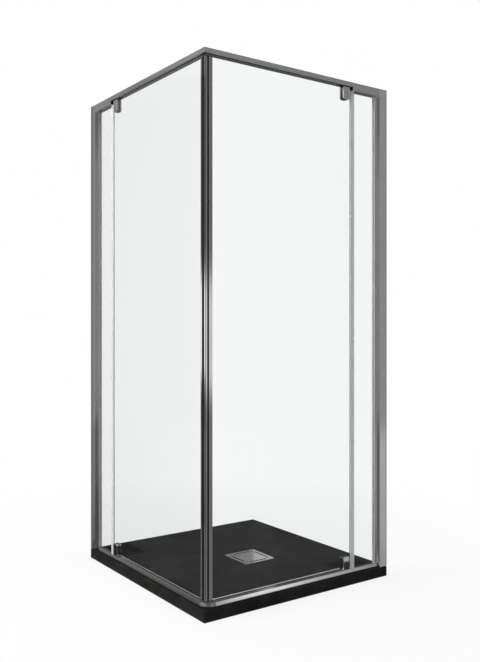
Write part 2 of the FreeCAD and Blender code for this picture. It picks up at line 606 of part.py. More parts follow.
def make_edge_caps(side):
    body = new_body(f"edge_caps_{side}")
    outline = [
        mitre(EDGE_OUT, "mitre_gap"), (EDGE_FAR, EDGE_OUT), *GLASS_POCKET, (EDGE_FAR, EDGE_IN),
        mitre(EDGE_IN, "mitre_gap"),
    ]
    extrude(body, side, "plan", [outline], DOOR_FOOT, CAP_FOOT)
    extrude(body, side, "plan", [outline], CAP_HEAD, DOOR_HEAD)


def make_drip_seal(side):
    body = new_body(f"drip_seal_{side}")
    leg_top = f"({DOOR_FOOT} + drip_leg)"
    base = f"({DOOR_FOOT} - drip_base)"
    lip = f"({SILL_TOP} + drip_lip_gap)"
    skin_out = f"({GLASS_OUT} - drip_wall)"
    skin_in = f"({GLASS_IN} + drip_wall)"
    section = [
        (skin_out, leg_top), (skin_out, base), (GLASS_IN, base), (f"{GLASS_IN} + drip_lip_lean", lip),
        (f"{skin_in} + drip_lip_lean", lip), (skin_in, base), (skin_in, leg_top), (GLASS_IN, leg_top),
        (GLASS_IN, DOOR_FOOT), (GLASS_OUT, DOOR_FOOT), (GLASS_OUT, leg_top),
    ]
    extrude(body, side, "end", [section], EDGE_FAR, f"{PIVOT} - bearing_half - drip_leg")


# Pivot clamps: two plates and soft pads grip the glass round a steel block that carries the pin
def make_clamp_plate(side, clamp, face):
    body = new_body(f"{clamp}_clamp_{face}_{side}")
    low, high = CLAMPS[clamp]["span"]
    screws = CLAMPS[clamp]["screws"]
    outer = face == "outer"
    near, far = (f"({PAD_OUT} - clamp_thick)", PAD_OUT) if outer else (PAD_IN, f"({PAD_IN} + clamp_thick)")
    outline = rectangle(f"{PIVOT} - clamp_width / 2", near, f"{PIVOT} + clamp_width / 2", far)
    plate = extrude(body, side, "plan", [outline], low, high)
    free_end = value(low if clamp == "top" else high, side)
    shown = value(near if outer else far, side)
    small = value("fit_gap / 10", side)

    def across(box):
        """The low and high v of an edge."""
        return (box.YMin, box.YMax) if side == "front" else (box.XMin, box.XMax)

    def at_free_end(box):
        low, high = across(box)
        return abs(box.ZMin - free_end) < small and box.ZLength < small and high - low > small

    def on_shown_face(box):
        return all(abs(depth - shown) < small for depth in across(box))

    rounded = round_edges(body, plate, "clamp_round", at_free_end)
    round_edges(body, rounded, "clamp_edge_round", on_shown_face)
    recess = (BLOCK_OUT, f"{PAD_OUT} + {OVERRUN}") if outer else (f"{PAD_IN} - {OVERRUN}", BLOCK_IN)
    extrude(body, side, "face", [block_outline(clamp, "0")], *recess, cut=True)
    if outer:
        threads = [("circle", place, "clamp_screw_radius + fit_gap") for place in screws]
        extrude(body, side, "face", threads, f"{PAD_OUT} - clamp_thread", f"{PAD_OUT} + {OVERRUN}", cut=True)
    else:
        drill(body, side, "face", screws, "clamp_screw_radius + fit_gap", near, far)


def make_clamp_pads(side):
    body = new_body(f"clamp_pads_{side}")
    for clamp in CLAMPS:
        low, high = CLAMPS[clamp]["span"]
        # the pads end level with the glass, and short of the plates' rounded corners
        foot = f"({low} + clamp_round)" if clamp == "top" else DOOR_FOOT
        head = DOOR_HEAD if clamp == "top" else f"({high} - clamp_round)"
        outline = rectangle(f"{PIVOT} - clamp_width / 2", foot, f"{PIVOT} + clamp_width / 2", head)
        extrude(body, side, "face", [outline], PAD_OUT, GLASS_OUT)
        extrude(body, side, "face", [outline], GLASS_IN, PAD_IN)
        notch = block_outline(clamp, "notch_gap")
        extrude(body, side, "face", [notch], f"{PAD_OUT} - {OVERRUN}", f"{PAD_IN} + {OVERRUN}", cut=True)
        drill(body, side, "face", CLAMPS[clamp]["screws"], "glass_hole_radius", PAD_OUT, PAD_IN)


def make_clamp_screws(side):
    body = new_body(f"clamp_screws_{side}")
    places = CLAMPS["top"]["screws"] + CLAMPS["bottom"]["screws"]
    plate_face = f"({PAD_IN} + clamp_thick)"
    rods(body, side, "face", places, "clamp_head_radius", plate_face, f"{plate_face} + clamp_head_thick")
    rods(body, side, "face", places, "clamp_screw_radius", f"{PAD_OUT} - clamp_thread", plate_face)


def make_pivot_pins(side):
    body = new_body(f"pivot_pins_{side}")
    block = rectangle(f"{PIVOT} - block_width / 2", BLOCK_OUT, f"{PIVOT} + block_width / 2", BLOCK_IN)
    for clamp in CLAMPS.values():
        extrude(body, side, "plan", [block], *clamp["block"])
        rods(body, side, "plan", [(PIVOT, PLANE)], "pin_radius", *clamp["pin"])


make_tray()
make_waste_flange()
make_drain_cover()
make_cover_screws()
make_threshold_tape()
make_threshold_corner()
make_corner_joiner()
make_corner_screws()
make_rail_joiners()
make_profile_screws()
make_bearing_screws()
for side in SIDES:
    make_wall_profile(side)
    make_adjust_profile(side)
    make_glazing_gasket(side)
    make_header_rail(side)
    make_fixed_rail(side)
    make_threshold(side)
    make_fixed_glass(side)
    make_jamb_seal(side)
    make_top_bearing(side)
    make_bottom_bearing(side)
    make_door_glass(side)
    make_door_edge(side)
    make_magnet_strip(side)
    make_grip_strip(side)
    make_edge_caps(side)
    make_drip_seal(side)
    for clamp in CLAMPS:
        make_clamp_plate(side, clamp, "outer")
        make_clamp_plate(side, clamp, "inner")
    make_clamp_pads(side)
    make_clamp_screws(side)
    make_pivot_pins(side)
doc.recompute()

# Every feature has to be sound before any file is written
for item in doc.Objects:
    if "Invalid" in item.State or "Error" in item.State:
        raise RuntimeError(f"{item.Label} failed: {item.State}")
bodies = [item for item in doc.Objects if item.isDerivedFrom("PartDesign::Body")]
for body in bodies:
    if body.Shape.isNull() or not body.Shape.isValid():
        raise RuntimeError(f"{body.Label} has no valid shape")
os.makedirs("parts", exist_ok=True)
for body in bodies:
    body.Shape.exportStep(f"parts/{body.Label}.step")
    print(f"{body.Label}: {len(body.Shape.Solids)} solids, {body.Shape.Volume / 1000:.1f} cm3")
print(f"{len(bodies)} sub-parts")
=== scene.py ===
import math

import bmesh
import bpy
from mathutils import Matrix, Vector, noise


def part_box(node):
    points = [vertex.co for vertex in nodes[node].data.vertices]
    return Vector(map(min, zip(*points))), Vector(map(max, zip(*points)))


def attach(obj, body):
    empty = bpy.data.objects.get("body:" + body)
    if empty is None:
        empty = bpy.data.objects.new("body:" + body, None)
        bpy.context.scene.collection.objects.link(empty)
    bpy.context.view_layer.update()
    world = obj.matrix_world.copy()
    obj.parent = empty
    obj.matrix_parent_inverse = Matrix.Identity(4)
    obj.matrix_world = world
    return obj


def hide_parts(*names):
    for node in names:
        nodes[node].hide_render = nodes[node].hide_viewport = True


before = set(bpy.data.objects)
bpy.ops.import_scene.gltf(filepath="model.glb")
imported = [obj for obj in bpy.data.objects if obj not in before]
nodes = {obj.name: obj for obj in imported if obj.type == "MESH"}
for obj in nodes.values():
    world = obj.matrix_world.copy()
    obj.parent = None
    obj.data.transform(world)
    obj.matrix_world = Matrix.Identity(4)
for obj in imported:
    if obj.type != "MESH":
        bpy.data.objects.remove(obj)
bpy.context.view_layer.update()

# Studio: a level camera at the photograph's place off the outer corner, a plain pale floor, a white
# surround and two soft lamps. Grey cards and mats, which only mirrors show, are what the bright metal and
# the glass reflect; they shed no light on matt surfaces and cast no shadow.
scene = bpy.context.scene
scene.view_settings.view_transform = "Standard"
PHOTO_WIDTH = 480
PHOTO_HEIGHT = 662
FOCAL_PIXELS = 768.14
AXIS_PIXEL_X = 205.62
AXIS_PIXEL_Y = 322.24
SENSOR_WIDTH = 36.0
CAMERA_PLACE = (-1.9222, -2.6425, 1.0361)
CAMERA_LOOK = (0.5588, 0.8293, 0.0)
camera_data = bpy.data.cameras.new("camera")
camera_data.sensor_width = SENSOR_WIDTH
camera_data.lens = FOCAL_PIXELS / PHOTO_HEIGHT * SENSOR_WIDTH
camera_data.shift_x = (PHOTO_WIDTH / 2 - AXIS_PIXEL_X) / PHOTO_HEIGHT
camera_data.shift_y = (AXIS_PIXEL_Y - PHOTO_HEIGHT / 2) / PHOTO_HEIGHT
camera = bpy.data.objects.new("camera", camera_data)
camera.location = CAMERA_PLACE
camera.rotation_euler = Vector(CAMERA_LOOK).to_track_quat("-Z", "Y").to_euler()
scene.collection.objects.link(camera)
scene.camera = camera


def add_node(tree, kind, **settings):
    """One shader node with its plain settings."""
    node = tree.nodes.new(kind)
    for name, value in settings.items():
        setattr(node, name, value)
    return node


def feed(tree, sockets, values):
    """Set sockets by their names or numbers; a value that is itself a socket is linked."""
    for name, value in values.items():
        if isinstance(value, bpy.types.NodeSocket):
            tree.links.new(value, sockets[name])
        else:
            sockets[name].default_value = value


def compute(tree, operation, *operands, clamp=False):
    """One Math node; each operand is a socket or a number."""
    node = add_node(tree, "ShaderNodeMath", operation=operation, use_clamp=clamp)
    feed(tree, node.inputs, dict(enumerate(operands)))
    return node.outputs[0]


def remap(tree, value, low, high, to_low=0.0, to_high=1.0, ease="LINEAR"):
    """A value taken from one range to another and held at the ends."""
    node = add_node(tree, "ShaderNodeMapRange", interpolation_type=ease)
    feed(tree, node.inputs, {"Value": value, "From Min": low, "From Max": high,
                             "To Min": to_low, "To Max": to_high})
    return node.outputs["Result"]


def seen_directly(tree):
    """1 where a surface is seen straight, mirrored or through glass, and 0 where it only sheds light."""
    path = add_node(tree, "ShaderNodeLightPath")
    seen = compute(tree, "ADD", path.outputs["Is Camera Ray"], path.outputs["Is Glossy Ray"])
    seen = compute(tree, "ADD", seen, path.outputs["Is Transmission Ray"], clamp=True)
    first_sight = compute(tree, "LESS_THAN", path.outputs["Diffuse Depth"], 0.5)
    return compute(tree, "MULTIPLY", seen, first_sight)


def new_material(name):
    """A material with nodes, and its node tree."""
    material = bpy.data.materials.new(name)
    material.use_nodes = True
    return material, material.node_tree


def new_object(name, form):
    """An object in the scene with the mesh of a finished form."""
    mesh = bpy.data.meshes.new(name)
    form.to_mesh(mesh)
    form.free()
    item = bpy.data.objects.new(name, mesh)
    scene.collection.objects.link(item)
    return item


SURROUND_WHITE = (1.0, 1.0, 1.0, 1.0)
SURROUND_LIGHT = 0.38
world = bpy.data.worlds.new("white_surround")
world.use_nodes = True
scene.world = world
tree = world.node_tree
strength = compute(tree, "MULTIPLY", seen_directly(tree), 1.0 - SURROUND_LIGHT)
strength = compute(tree, "ADD", strength, SURROUND_LIGHT)
feed(tree, tree.nodes["Background"].inputs, {"Color": SURROUND_WHITE, "Strength": strength})

# The floor is white to the eye, save for the object's shadow near its middle
FLOOR_RADIUS = 14.0
FLOOR_STEPS = 96
FLOOR_WHITE = (0.90, 0.90, 0.89, 1.0)
FLOOR_ROUGHNESS = 0.9
FLOOR_GLOSS = 0.1
FLOOR_NEAR_WHITE = 0.80
FLOOR_FADE_START = 0.7
FLOOR_FADE_END = 1.9
floor_form = bmesh.new()
bmesh.ops.create_circle(floor_form, cap_ends=True, segments=FLOOR_STEPS, radius=FLOOR_RADIUS)
floor = new_object("studio_floor", floor_form)
floor_paint, tree = new_material("floor_paint")
floor.data.materials.append(floor_paint)
paint = tree.nodes["Principled BSDF"]
feed(tree, paint.inputs, {"Base Color": FLOOR_WHITE, "Roughness": FLOOR_ROUGHNESS,
                          "Specular IOR Level": FLOOR_GLOSS})
spot = add_node(tree, "ShaderNodeTexCoord").outputs["Object"]
distance = add_node(tree, "ShaderNodeVectorMath", operation="LENGTH")
feed(tree, distance.inputs, {0: spot})
fade = remap(tree, distance.outputs["Value"], FLOOR_FADE_START, FLOOR_FADE_END, FLOOR_NEAR_WHITE,
             ease="SMOOTHSTEP")
white = add_node(tree, "ShaderNodeEmission")
blend = add_node(tree, "ShaderNodeMixShader")
shown_white = compute(tree, "MULTIPLY", seen_directly(tree), fade)
feed(tree, blend.inputs, {0: shown_white, 1: paint.outputs[0], 2: white.outputs[0]})
feed(tree, tree.nodes["Material Output"].inputs, {"Surface": blend.outputs[0]})


def soft_lamp(name, place, target, size, power):
    """A soft box that looks at a target; metal and glass don't mirror it."""
    data = bpy.data.lights.new(name, "AREA")
    data.shape = "RECTANGLE"
    data.size, data.size_y = size
    data.energy = power
    lamp = bpy.data.objects.new(name, data)
    lamp.location = place
    lamp.rotation_euler = (Vector(target) - Vector(place)).to_track_quat("-Z", "Y").to_euler()
    lamp.visible_glossy = False
    scene.collection.objects.link(lamp)


soft_lamp("left_soft_box", (-4.2, 0.6, 2.6), (0.0, 0.0, 0.9), (2.4, 2.8), 150.0)
soft_lamp("top_soft_box", (-0.3, -0.6, 4.6), (0.0, 0.0, 0.0), (3.0, 3.0), 75.0)


def grey_card(name, place, target, size, tones, axis="Y", side_fade=0.0, mirrored_by=()):
    """A card that only mirrors show, in one grey or in greys at places from 0 to 1 along an axis.

    A card that only some pieces mirror adds its light to what stands behind it.
    """
    form = bmesh.new()
    bmesh.ops.create_grid(form, x_segments=1, y_segments=1, size=0.5)
    card = new_object(name, form)
    card.location = place
    card.rotation_euler = (Vector(target) - Vector(place)).to_track_quat("Z", "Y").to_euler()
    card.scale = (*size, 1.0)
    card.visible_camera = False
    card.visible_diffuse = False
    card.visible_shadow = False
    card_paint, tree = new_material(name)
    card.data.materials.append(card_paint)
    coordinates = add_node(tree, "ShaderNodeTexCoord")
    parts = add_node(tree, "ShaderNodeSeparateXYZ")
    ramp = add_node(tree, "ShaderNodeValToRGB")
    glow = add_node(tree, "ShaderNodeEmission")
    if isinstance(tones, float):
        tones = [(0.0, tones), (1.0, tones)]
    stops = ramp.color_ramp.elements
    while len(stops) < len(tones):
        stops.new(1.0)
    for stop, (along, grey) in zip(stops, tones):
        stop.position = along
        stop.color = (grey, grey, grey, 1.0)
    feed(tree, parts.inputs, {0: coordinates.outputs["Generated"]})
    feed(tree, ramp.inputs, {"Fac": parts.outputs[axis]})
    feed(tree, glow.inputs, {"Color": ramp.outputs["Color"]})
    # Straight through glass the card isn't there; in a mirror it is, also with glass on the way
    path = add_node(tree, "ShaderNodeLightPath")
    mirrored = compute(tree, "GREATER_THAN", path.outputs["Glossy Depth"], 0.5)
    if side_fade:
        from_right = compute(tree, "SUBTRACT", 1.0, parts.outputs["X"])
        to_side = compute(tree, "MINIMUM", parts.outputs["X"], from_right)
        soft = remap(tree, to_side, 0.0, side_fade, ease="SMOOTHSTEP")
        mirrored = compute(tree, "MULTIPLY", mirrored, soft)
    nothing = add_node(tree, "ShaderNodeBsdfTransparent")
    if mirrored_by:
        feed(tree, glow.inputs, {"Strength": mirrored})
        choice = add_node(tree, "ShaderNodeAddShader")
        feed(tree, choice.inputs, {0: nothing.outputs[0], 1: glow.outputs[0]})
        mirrors = bpy.data.collections.new(f"{name}_mirrors")
        for node in mirrored_by:
            mirrors.objects.link(nodes[node])
        card.light_linking.receiver_collection = mirrors
    else:
        choice = add_node(tree, "ShaderNodeMixShader")
        feed(tree, choice.inputs, {0: mirrored, 1: nothing.outputs[0], 2: glow.outputs[0]})
    feed(tree, tree.nodes["Material Output"].inputs, {"Surface": choice.outputs[0]})


# Cards round the object and above it, outside the camera's view
grey_card("right_card", (2.6, -4.2, 2.0), (0.0, -0.45, 2.0), (5.0, 4.4), 0.23)
grey_card("left_card", (-3.4, 3.6, 1.65), (-0.45, 0.0, 1.65), (4.0, 3.7),
          [(0.0, 0.17), (0.45, 0.12), (0.6, 0.12), (0.78, 0.28), (1.0, 0.31)], axis="X")
grey_card("left_high_card", (-3.4, 3.6, 4.0), (-0.45, 0.0, 4.0), (4.0, 1.0), 0.32)
grey_card("back_card", (-2.95, -4.2, 1.9), (0.0, 0.0, 1.9), (5.0, 4.4), 0.30)
grey_card("high_card", (-2.2, -3.2, 3.6), (-0.45, -0.45, 1.6), (3.4, 2.0), [(0.0, 0.18), (1.0, 0.10)])
grey_card("ceiling_card", (0.0, 0.0, 6.0), (0.0, 0.0, 0.0), (7.0, 7.0), 0.42)
# Cards along the open back sides, which the thresholds mirror, with a paler corner for the drain cover
grey_card("far_card", (-0.15, 0.46, 1.0), (-0.15, -1.0, 1.0), (0.62, 2.1), 0.14)
grey_card("far_corner_card", (0.31, 0.46, 1.0), (0.31, -1.0, 1.0), (0.30, 2.1),
          [(0.0, 0.30), (0.2, 0.30), (0.23, 0.08), (1.0, 0.08)])
grey_card("inner_card", (0.46, -0.08, 1.0), (-1.0, -0.08, 1.0), (0.76, 2.1), 0.09)
grey_card("inner_corner_card", (0.46, 0.38, 1.0), (-1.0, 0.38, 1.0), (0.16, 2.1),
          [(0.0, 0.60), (0.2, 0.60), (0.23, 0.08), (1.0, 0.08)])
# Two soft windows at standing height in the closing profiles, and a low one in the front threshold
CLOSING_EDGES = ("door_edge_front", "door_edge_side")
grey_card("right_window", (2.30, -4.27, 0.95), (-0.43, -0.44, 0.95), (0.9, 1.6),
          [(0.0, 0.0), (0.08, 0.15), (0.22, 0.8), (0.72, 0.8), (0.88, 0.15), (1.0, 0.0)],
          side_fade=0.3, mirrored_by=CLOSING_EDGES)
grey_card("left_window", (-3.18, 3.63, 1.0), (-0.44, -0.43, 1.0), (0.9, 1.5),
          [(0.0, 0.0), (0.12, 0.25), (0.24, 1.4), (0.74, 1.4), (0.88, 0.25), (1.0, 0.0)],
          side_fade=0.3, mirrored_by=CLOSING_EDGES)
grey_card("low_window", (2.57, -3.99, 0.48), (-0.03, -0.24, 0.48), (1.7, 0.8),
          [(0.0, 0.15), (0.21, 0.22), (0.33, 0.3), (0.44, 0.65), (0.56, 0.8), (0.68, 0.8), (0.77, 0.4),
           (0.83, 0.15), (1.0, 0.1)], axis="X", mirrored_by=("threshold_front",))


def floor_mat(name, place, size, tones, **settings):
    """A card that lies face up on the floor, or a hair above it where it overlaps another."""
    grey_card(name, place, (place[0], place[1], 1.0), size, tones, **settings)


# Mats round the object, with a dark one at the foot of each pivot and pale ones further out
floor_mat("front_mat", (1.2, -2.51, 0.001), (6.2, 4.1),
          [(0.0, 0.27), (0.53, 0.27), (0.6, 0.15), (1.0, 0.15)], axis="X")
floor_mat("front_pivot_mat", (0.42, -0.56, 0.0015), (0.17, 0.20), 0.03)
floor_mat("side_mat", (-2.46, 1.8, 0.002), (4.0, 5.6),
          [(0.0, 0.21), (0.5, 0.22), (0.6, 0.2), (0.64, 0.17), (0.69, 0.15), (0.71, 0.09), (1.0, 0.09)])
floor_mat("side_pivot_mat", (-0.56, 0.46, 0.0025), (0.18, 0.18), 0.02)
floor_mat("corner_mat", (-3.2, -2.8, 0.001), (2.6, 3.6), 0.13)
floor_mat("far_front_mat", (-3.0, -7.6, 0.0005), (18.0, 6.0), 0.24)
floor_mat("far_side_mat", (-8.3, 1.8, 0.0005), (7.6, 12.6), 0.24)
# Mats that only the closing profiles, one clamp and the front wall profile mirror, and a strip in the last
floor_mat("post_front_mat", (0.15, -1.4, 0.0045), (1.2, 1.86), 0.08, mirrored_by=CLOSING_EDGES)
floor_mat("post_side_mat", (-0.86, 0.075, 0.0045), (0.78, 1.09), 0.13, mirrored_by=CLOSING_EDGES)
floor_mat("clamp_mat", (0.43, -0.74, 0.0045), (0.22, 0.18), 0.25,
          mirrored_by=("bottom_clamp_outer_front",))
floor_mat("wall_mat", (2.0, -2.0, 0.004), (3.6, 3.4),
          [(0.0, 0.15), (0.3, 0.19), (0.6, 0.15), (0.73, 0.15), (0.77, 0.16), (0.9, 0.2), (1.0, 0.25)],
          axis="X", mirrored_by=("wall_profile_front",))
grey_card("wall_strip", (3.62, -3.37, 2.0), (1.02, 0.38, 2.0), (0.6, 4.4), 0.07,
          mirrored_by=("wall_profile_front",))

# Tray: a low square slab cast in dark mineral resin with a slate face, on the floor. Its top falls gently
# from a flat rim to the drain, and the cast face has shallow flakes that the fittings stand on.
FLOAT = "NodeSocketFloat"
COLOUR = "NodeSocketColor"
VECTOR = "NodeSocketVector"


def shade_group(name, inputs, outputs):
    """A shader node group, with the sockets that it is given and those that take its results."""
    group = bpy.data.node_groups.new(name, "ShaderNodeTree")
    for way, sockets in (("INPUT", inputs), ("OUTPUT", outputs)):
        for label, kind in sockets.items():
            group.interface.new_socket(label, in_out=way, socket_type=kind)
    return group, add_node(group, "NodeGroupInput").outputs, add_node(group, "NodeGroupOutput").inputs


def noise_at(tree, spot, scale, detail, roughness=0.5, distortion=0.0):
    """Noise from 0 to 1 at a spot of the surface."""
    texture = add_node(tree, "ShaderNodeTexNoise")
    feed(tree, texture.inputs, {"Vector": spot, "Scale": scale, "Detail": detail,
                                "Roughness": roughness, "Distortion": distortion})
    return texture.outputs["Fac"]


def mix_colours(tree, factor, first, second):
    """A colour between two others."""
    node = add_node(tree, "ShaderNodeMix", data_type="RGBA")
    feed(tree, node.inputs, {"Factor": factor, "A": first, "B": second})
    return node.outputs["Result"]


# Clouded colour with a fine grain, for cast and moulded stuff
NOISE_LOW = 0.3
NOISE_HIGH = 0.7
GRAIN_SHARE = 0.4
CLOUD_SHARE = 0.75
cast_grain, given, result = shade_group(
    "cast_grain",
    {"Deep": COLOUR, "Pale": COLOUR, "Cloud Scale": FLOAT, "Grain Scale": FLOAT,
     "Smooth": FLOAT, "Rough": FLOAT},
    {"Colour": COLOUR, "Roughness": FLOAT, "Height": FLOAT})
spot = add_node(cast_grain, "ShaderNodeTexCoord").outputs["Object"]
cloud = noise_at(cast_grain, spot, given["Cloud Scale"], detail=7.0, roughness=0.62, distortion=0.6)
grain = noise_at(cast_grain, spot, given["Grain Scale"], detail=4.0, roughness=0.6)
contrast = remap(cast_grain, cloud, NOISE_LOW, NOISE_HIGH)
speckled = compute(cast_grain, "MULTIPLY", grain, GRAIN_SHARE)
clouded = compute(cast_grain, "MULTIPLY", contrast, CLOUD_SHARE)
tone = compute(cast_grain, "ADD", speckled, clouded, clamp=True)
feed(cast_grain, result, {
    "Colour": mix_colours(cast_grain, tone, given["Deep"], given["Pale"]),
    "Roughness": remap(cast_grain, grain, NOISE_LOW, NOISE_HIGH, given["Smooth"], given["Rough"]),
    "Height": grain,
})


def new_finish(name, group, values):
    """A material whose colour and roughness come from a node group with its own values."""
    finish, tree = new_material(name)
    shader = tree.nodes["Principled BSDF"]
    pattern = add_node(tree, "ShaderNodeGroup", node_tree=group)
    for label, value in values.items():
        socket = pattern.inputs[label]
        # A colour is given as red, green and blue, and is opaque
        socket.default_value = (*value, 1.0) if socket.type == "RGBA" else value
    feed(tree, shader.inputs, {"Base Color": pattern.outputs["Colour"],
                               "Roughness": pattern.outputs["Roughness"]})
    return finish, tree, shader, pattern


def add_relief(tree, shader, height, strength, depth):
    """Fine relief from a height, on the shader's normal."""
    bump = add_node(tree, "ShaderNodeBump")
    feed(tree, bump.inputs, {"Strength": strength, "Distance": depth, "Height": height})
    feed(tree, shader.inputs, {"Normal": bump.outputs["Normal"]})


CAST_RELIEF = 0.5


def cast_finish(name, gloss, depth, deep, pale, cloud, grain, smooth, rough):
    """Cast or moulded stuff with the clouded grain."""
    finish, tree, shader, pattern = new_finish(name, cast_grain, {
        "Deep": deep, "Pale": pale, "Cloud Scale": cloud, "Grain Scale": grain,
        "Smooth": smooth, "Rough": rough})
    feed(tree, shader.inputs, {"Specular IOR Level": gloss})
    add_relief(tree, shader, pattern.outputs["Height"], CAST_RELIEF, depth)
    return finish


SHARP_TURN = math.radians(35.0)


def shown_piece(name, form, finish, body, node):
    """A new piece from its form, with its finish, riding on a body in place of a CAD node."""
    bmesh.ops.recalc_face_normals(form, faces=form.faces)
    for edge in form.edges:
        edge.smooth = edge.calc_face_angle(0.0) < SHARP_TURN
    piece = new_object(name, form)
    piece.data.materials.append(finish)
    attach(piece, body)
    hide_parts(node)
    return piece


SLATE_STEP = 0.007
FLAKE_DEPTH = 0.0009
FLAKE_FADE = 0.012
FLAKE_FINER = 2.0
FLAKE_MIDDLE = 0.5
BROAD_SHARE = 0.45
FINE_SHARE = 0.2
TRAY_ROUND = 0.004
ROUND_STEPS = 4
TRAY_RIM = 0.062
TRAY_FALL = 0.006
COVER_GAP = 0.001
COVER_SEAT = 0.008
WASTE_HOLE = 0.045
HOLE_STEPS = 64
LINE_SLACK = 1e-6
tray_low, tray_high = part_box("tray")
cover_low, cover_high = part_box("drain_cover")
seat_low = (cover_low.x - COVER_GAP, cover_low.y - COVER_GAP)
seat_high = (cover_high.x + COVER_GAP, cover_high.y + COVER_GAP)
seat_level = tray_high.z - TRAY_FALL - COVER_SEAT
drain_x = (cover_low.x + cover_high.x) / 2
drain_y = (cover_low.y + cover_high.y) / 2


def grid_lines(low, seat_from, seat_to, high):
    """Grid lines over one direction of the tray's top, with lines at the drain's edges."""
    lines = []
    for start, end in ((low, seat_from), (seat_from, seat_to), (seat_to, high)):
        count = max(1, round((end - start) / SLATE_STEP))
        lines += [start + (end - start) * step / count for step in range(count)]
    return lines + [high]


def limit(value):
    """A value held between 0 and 1."""
    return min(1.0, max(0.0, value))


def flakes(x, y, per_x, per_y, layer, falloff, octaves):
    """Slate flakes about 0, so many to a metre along each direction."""
    return noise.fractal(Vector((x * per_x, y * per_y, layer)), falloff, FLAKE_FINER, octaves)


def slate_level(x, y):
    """Height of the tray's top: a flat rim, an even fall to the drain and shallow slate flakes."""
    fall = limit(min(
        (x - tray_low.x - TRAY_RIM) / (seat_low[0] - tray_low.x - TRAY_RIM),
        (tray_high.x - TRAY_RIM - x) / (tray_high.x - TRAY_RIM - seat_high[0]),
        (y - tray_low.y - TRAY_RIM) / (seat_low[1] - tray_low.y - TRAY_RIM),
        (tray_high.y - TRAY_RIM - y) / (tray_high.y - TRAY_RIM - seat_high[1]),
    ))
    # Broad flakes lie along the front, with finer ones on them, and fade out at the rim and the drain
    broad = flakes(x, y, per_x=9.0, per_y=16.0, layer=0.3, falloff=1.0, octaves=5)
    fine = flakes(x, y, per_x=60.0, per_y=85.0, layer=4.1, falloff=0.9, octaves=3)
    flake = limit(FLAKE_MIDDLE + BROAD_SHARE * broad + FINE_SHARE * fine)
    edge = min(x - tray_low.x, tray_high.x - x, y - tray_low.y, tray_high.y - y)
    hole = max(seat_low[0] - x, x - seat_high[0], seat_low[1] - y, y - seat_high[1])
    keep = limit((edge - TRAY_ROUND) / FLAKE_FADE) * limit(hole / FLAKE_FADE)
    return tray_high.z - TRAY_FALL * fall - FLAKE_DEPTH * flake * keep


def in_seat(x, y):
    """Whether a place lies strictly inside the drain's square."""
    inside_x = seat_low[0] + LINE_SLACK < x < seat_high[0] - LINE_SLACK
    return inside_x and seat_low[1] + LINE_SLACK < y < seat_high[1] - LINE_SLACK


def bridge(form, upper, lower):
    """Faces between two closed loops; a face is a triangle where the upper loop stays at a point."""
    faces = []
    for index in range(len(upper)):
        following = (index + 1) % len(upper)
        corners = [upper[index], lower[index], lower[following]]
        if upper[following] != upper[index]:
            corners.append(upper[following])
        faces.append(form.faces.new(corners))
    return faces


def sides_in_order(columns, rows):
    """The four sides of a block of grid points, each from corner to corner."""
    return (
        [(column, rows[0]) for column in columns],
        [(columns[-1], row) for row in rows],
        [(column, rows[-1]) for column in reversed(columns)],
        [(columns[0], row) for row in reversed(rows)],
    )


tray_form = bmesh.new()
lines_x = grid_lines(tray_low.x + TRAY_ROUND, seat_low[0], seat_high[0], tray_high.x - TRAY_ROUND)
lines_y = grid_lines(tray_low.y + TRAY_ROUND, seat_low[1], seat_high[1], tray_high.y - TRAY_ROUND)
top_points = {}
for column, x in enumerate(lines_x):
    for row, y in enumerate(lines_y):
        if not in_seat(x, y):
            top_points[column, row] = tray_form.verts.new((x, y, slate_level(x, y)))
for column in range(len(lines_x) - 1):
    for row in range(len(lines_y) - 1):
        middle_x = (lines_x[column] + lines_x[column + 1]) / 2
        middle_y = (lines_y[row] + lines_y[row + 1]) / 2
        if not in_seat(middle_x, middle_y):
            corners = ((column, row), (column + 1, row), (column + 1, row + 1), (column, row + 1))
            tray_form.faces.new([top_points[corner] for corner in corners])

# The rim of the top in order, each point with the way that its side faces, and a fan at each corner
FACINGS = (-90.0, 0.0, 90.0, 180.0)
rim = []
for walk, facing in zip(sides_in_order(range(len(lines_x)), range(len(lines_y))), FACINGS):
    for key in walk:
        rim.append((top_points[key], math.radians(facing)))
    for step in range(1, ROUND_STEPS):
        rim.append((top_points[walk[-1]], math.radians(facing + 90.0 * step / ROUND_STEPS)))


def ring_at(offset, level):
    """A ring of points round the tray, at an offset from the rim and at one level."""
    ring = []
    for point, facing in rim:
        x = point.co.x + offset * math.cos(facing)
        y = point.co.y + offset * math.sin(facing)
        ring.append(tray_form.verts.new((x, y, level)))
    return ring


rings = [[point for point, facing in rim]]
for step in range(1, ROUND_STEPS + 1):
    turn = math.radians(90.0 * step / ROUND_STEPS)
    drop = TRAY_ROUND * (1.0 - math.cos(turn))
    rings.append(ring_at(TRAY_ROUND * math.sin(turn), tray_high.z - drop))
rings.append(ring_at(TRAY_ROUND, tray_low.z))
for upper, lower in zip(rings, rings[1:]):
    bridge(tray_form, upper, lower)


def seat_lines(lines, low, high):
    """The numbers of the grid lines from one edge of the drain's square to the other."""
    return [index for index, place in enumerate(lines) if low - LINE_SLACK < place < high + LINE_SLACK]


